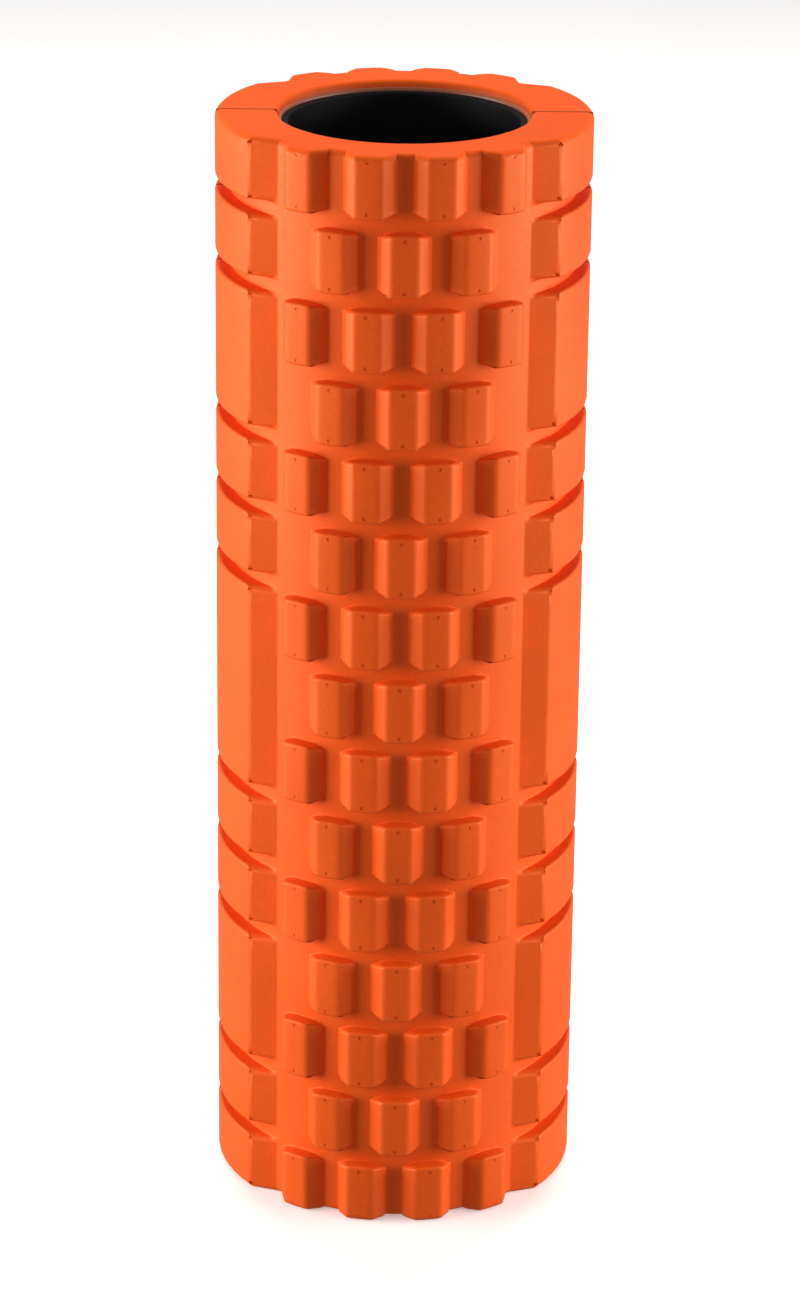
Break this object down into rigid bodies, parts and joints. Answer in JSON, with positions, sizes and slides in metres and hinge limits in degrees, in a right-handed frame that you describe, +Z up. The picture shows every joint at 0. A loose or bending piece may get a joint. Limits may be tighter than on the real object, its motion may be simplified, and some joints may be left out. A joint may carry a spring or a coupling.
{
  "type": "foam roller",
  "caption": "Hollow massage roller: a stiff core tube with a moulded foam sleeve that carries small raised blocks and wide ribbed side blocks.",
  "frame": {"origin": "centre of the bottom end face, on the bore's axis", "axes": "+Z up along the bore; -Y is the middle of the front foam half; the seams are at +X and -X"},
  "size_m": [0.1484, 0.148, 0.45],
  "materials": {
    "foam": "closed-cell EVA foam with a soft matt moulded skin",
    "tube_plastic": "black extruded ABS, satin inside",
    "adhesive": "dried contact adhesive"
  },
  "bodies": {
    "root": {"core_tube": "tube_plastic", "front_foam_half": "foam", "rear_foam_half": "foam", "front_adhesive_film": "adhesive", "rear_adhesive_film": "adhesive", "left_seam_bond": "adhesive", "right_seam_bond": "adhesive"}
  },
  "joints": []
}
